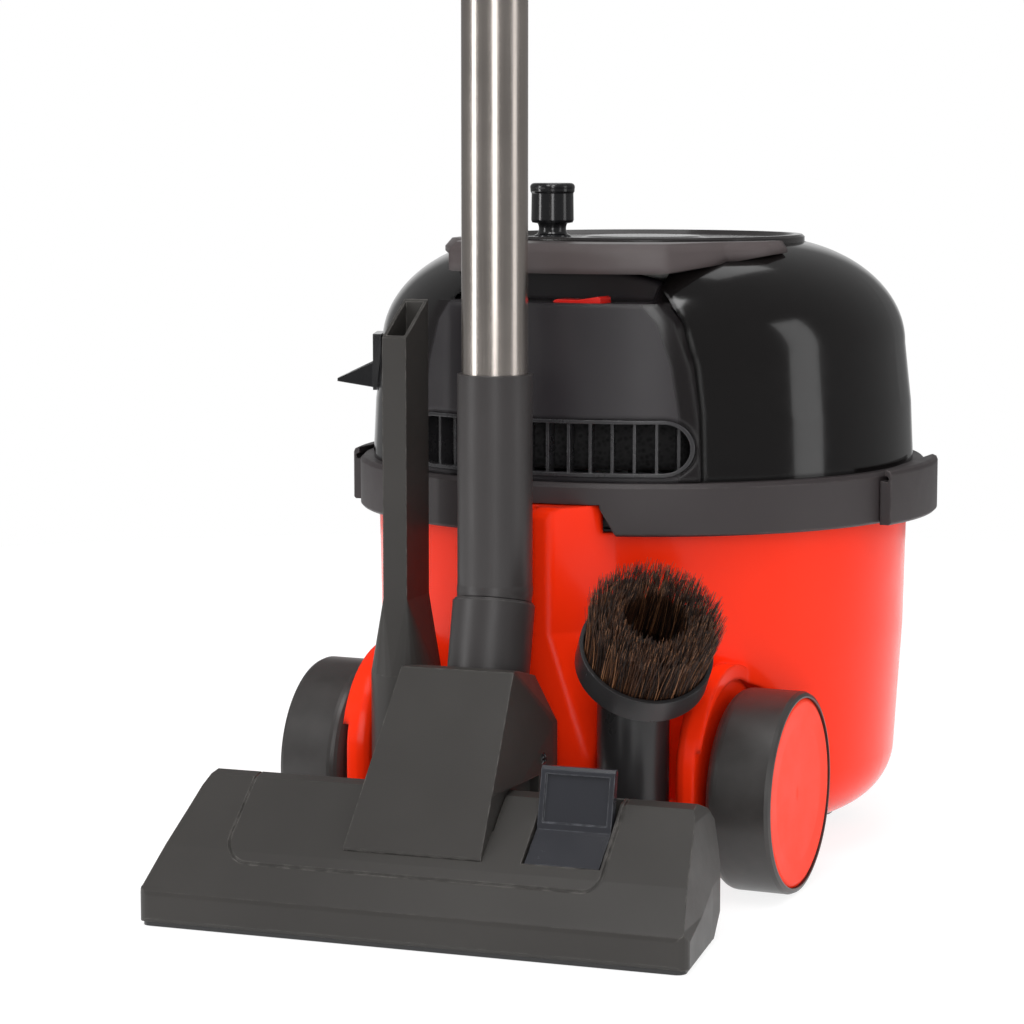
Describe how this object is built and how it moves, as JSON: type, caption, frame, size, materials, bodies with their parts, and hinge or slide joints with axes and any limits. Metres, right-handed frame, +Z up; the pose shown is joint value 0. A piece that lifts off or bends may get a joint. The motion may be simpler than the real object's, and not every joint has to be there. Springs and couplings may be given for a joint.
{
  "type": "tub vacuum cleaner",
  "caption": "Wheeled round tub vacuum cleaner with a black head, cable reel crank, carry handle, docked steel wand, floor tool and two loose tools.",
  "frame": {"origin": "middle of the bounding box at floor level", "axes": "+X to the right seen from the back where the wand stands, +Y from the wand to the hose inlet, +Z up"},
  "size_m": [0.3162, 0.4712, 0.689],
  "materials": {
    "red_gloss": "glossy red moulding",
    "black_gloss": "glossy black moulding",
    "black_satin": "satin black moulding",
    "dark_grey": "satin dark grey moulding",
    "charcoal": "satin charcoal moulding",
    "grey_plastic": "plain grey moulding",
    "tyre_black": "matt black tread",
    "seal_rubber": "matt black rubber",
    "filter_fabric": "woven filter fleece",
    "card": "plain card, stated as matte plastic",
    "pale_plastic": "pale grey moulding",
    "tube_steel": "brushed stainless tube",
    "bright_steel": "plain bright steel",
    "bristle": "dense brown bristles",
    "alloy": "spun and pressed alloy",
    "copper_windings": "lacquered copper windings"
  },
  "bodies": {
    "tub": {"tub_shell": "red_gloss", "hose_inlet": "black_gloss", "inlet_seal": "seal_rubber", "dust_bag": "filter_fabric", "bag_collar": "card", "wheel_axles": "bright_steel", "axle_clips": "bright_steel"},
    "wheel_left": {"wheel_left": "grey_plastic", "tyre_left": "tyre_black", "hub_cap_left": "red_gloss"},
    "wheel_right": {"wheel_right": "grey_plastic", "tyre_right": "tyre_black", "hub_cap_right": "red_gloss"},
    "fork_left": {"caster_fork_left": "grey_plastic", "caster_pin_left": "bright_steel"},
    "fork_right": {"caster_fork_right": "grey_plastic", "caster_pin_right": "bright_steel"},
    "caster_left": {"caster_wheel_left": "tyre_black"},
    "caster_right": {"caster_wheel_right": "tyre_black"},
    "head": {"head_shell": "black_gloss", "rear_panel": "black_satin", "exhaust_grille": "dark_grey", "handle_bar": "dark_grey", "rim_band": "dark_grey", "base_plate": "black_satin", "head_screws": "bright_steel", "head_seal": "seal_rubber", "filter_frame": "grey_plastic", "filter_cloth": "filter_fabric", "cable_outlet": "black_satin", "switch_body": "black_satin", "reel_deck": "grey_plastic", "motor_casing": "alloy", "motor_stator": "copper_windings", "clip_pins": "bright_steel"},
    "switch": {"switch_rocker": "red_gloss"},
    "reel": {"cable_drum": "pale_plastic", "crank_disc": "black_gloss", "knob_pin": "bright_steel"},
    "knob": {"crank_knob": "black_gloss"},
    "impeller": {"impeller": "alloy", "motor_shaft": "bright_steel"},
    "clip_left": {"clip_left": "dark_grey"},
    "clip_right": {"clip_right": "dark_grey"},
    "wand": {"wand_sleeve": "charcoal"},
    "tube": {"wand_tube": "tube_steel"},
    "neck": {"swivel_collar": "charcoal", "neck_housing": "charcoal"},
    "nozzle": {"nozzle_body": "charcoal", "sole_plate": "bright_steel", "pivot_pins": "bright_steel", "pedal_pin": "bright_steel"},
    "pedal": {"pedal": "charcoal"},
    "strips": {"strip_carrier": "charcoal", "strip_bristles": "bristle"},
    "crevice_tool": {"crevice_tool": "charcoal"},
    "duster": {"brush_cup": "black_satin", "brush_bristles": "bristle"}
  },
  "joints": [
    {"name": "wheel_left_spin", "type": "hinge", "parent": "tub", "child": "wheel_left", "pos_m": [-0.1145, -0.05092, 0.05], "axis": [1, 0, 0], "continuous": true},
    {"name": "wheel_right_spin", "type": "hinge", "parent": "tub", "child": "wheel_right", "pos_m": [0.1145, -0.05092, 0.05], "axis": [1, 0, 0], "continuous": true},
    {"name": "fork_left_swivel", "type": "hinge", "parent": "tub", "child": "fork_left", "pos_m": [-0.088, 0.12858, 0.04], "axis": [0, 0, 1], "continuous": true},
    {"name": "fork_right_swivel", "type": "hinge", "parent": "tub", "child": "fork_right", "pos_m": [0.088, 0.12858, 0.04], "axis": [0, 0, 1], "continuous": true},
    {"name": "caster_left_spin", "type": "hinge", "parent": "fork_left", "child": "caster_left", "pos_m": [-0.088, 0.12308, 0.0135], "axis": [1, 0, 0], "continuous": true},
    {"name": "caster_right_spin", "type": "hinge", "parent": "fork_right", "child": "caster_right", "pos_m": [0.088, 0.12308, 0.0135], "axis": [1, 0, 0], "continuous": true},
    {"name": "head_lift", "type": "slide", "parent": "tub", "child": "head", "axis": [0, 0, 1], "range_m": [0, 0.2]},
    {"name": "switch_rock", "type": "hinge", "parent": "head", "child": "switch", "pos_m": [0.0175, -0.05642, 0.282], "axis": [0, 1, 0], "range_deg": [0, 8]},
    {"name": "reel_wind", "type": "hinge", "parent": "head", "child": "reel", "pos_m": [0, 0.07258, 0.289], "axis": [0, 0, 1], "continuous": true},
    {"name": "knob_spin", "type": "hinge", "parent": "reel", "child": "knob", "pos_m": [-0.03803, 0.03712, 0.33], "axis": [0, 0, 1], "continuous": true},
    {"name": "impeller_spin", "type": "hinge", "parent": "head", "child": "impeller", "pos_m": [0, 0.07258, 0.2], "axis": [0, 0, 1], "continuous": true},
    {"name": "clip_left_swing", "type": "hinge", "parent": "head", "child": "clip_left", "pos_m": [-0.149, 0.07258, 0.1979], "axis": [0, 1, 0], "range_deg": [0, 16]},
    {"name": "clip_right_swing", "type": "hinge", "parent": "head", "child": "clip_right", "pos_m": [0.149, 0.07258, 0.1979], "axis": [0, -1, 0], "range_deg": [0, 16]},
    {"name": "wand_undock", "type": "slide", "parent": "tub", "child": "wand", "axis": [0, 0, 1], "range_m": [0, 0.03]},
    {"name": "tube_pull", "type": "slide", "parent": "wand", "child": "tube", "axis": [0, 0, 1], "range_m": [0, 0.068]},
    {"name": "neck_swivel", "type": "hinge", "parent": "wand", "child": "neck", "pos_m": [-0.0035, -0.11742, 0.152], "axis": [-0.0169, 0.2413, 0.9703], "range_deg": [-12, 12]},
    {"name": "nozzle_tilt", "type": "hinge", "parent": "neck", "child": "nozzle", "pos_m": [-0.01126, -0.16407, 0.034], "axis": [0.9976, 0.0698, 0], "range_deg": [0, 30]},
    {"name": "pedal_rock", "type": "hinge", "parent": "nozzle", "child": "pedal", "pos_m": [0.06228, -0.17647, 0.046], "axis": [-0.9976, -0.0698, 0], "range_deg": [0, 27]},
    {"name": "strips_drop", "type": "slide", "parent": "nozzle", "child": "strips", "axis": [0, 0, -1], "range_m": [0, 0.005]},
    {"name": "crevice_lift", "type": "slide", "parent": "tub", "child": "crevice_tool", "axis": [0, 0, 1], "range_m": [0, 0.1]},
    {"name": "duster_lift", "type": "slide", "parent": "tub", "child": "duster", "axis": [0, 0, 1], "range_m": [0, 0.06]}
  ],
  "couplings": [
    {"joint": "pedal_rock", "follows": "strips_drop", "rad_per_m": 94.247}
  ]
}
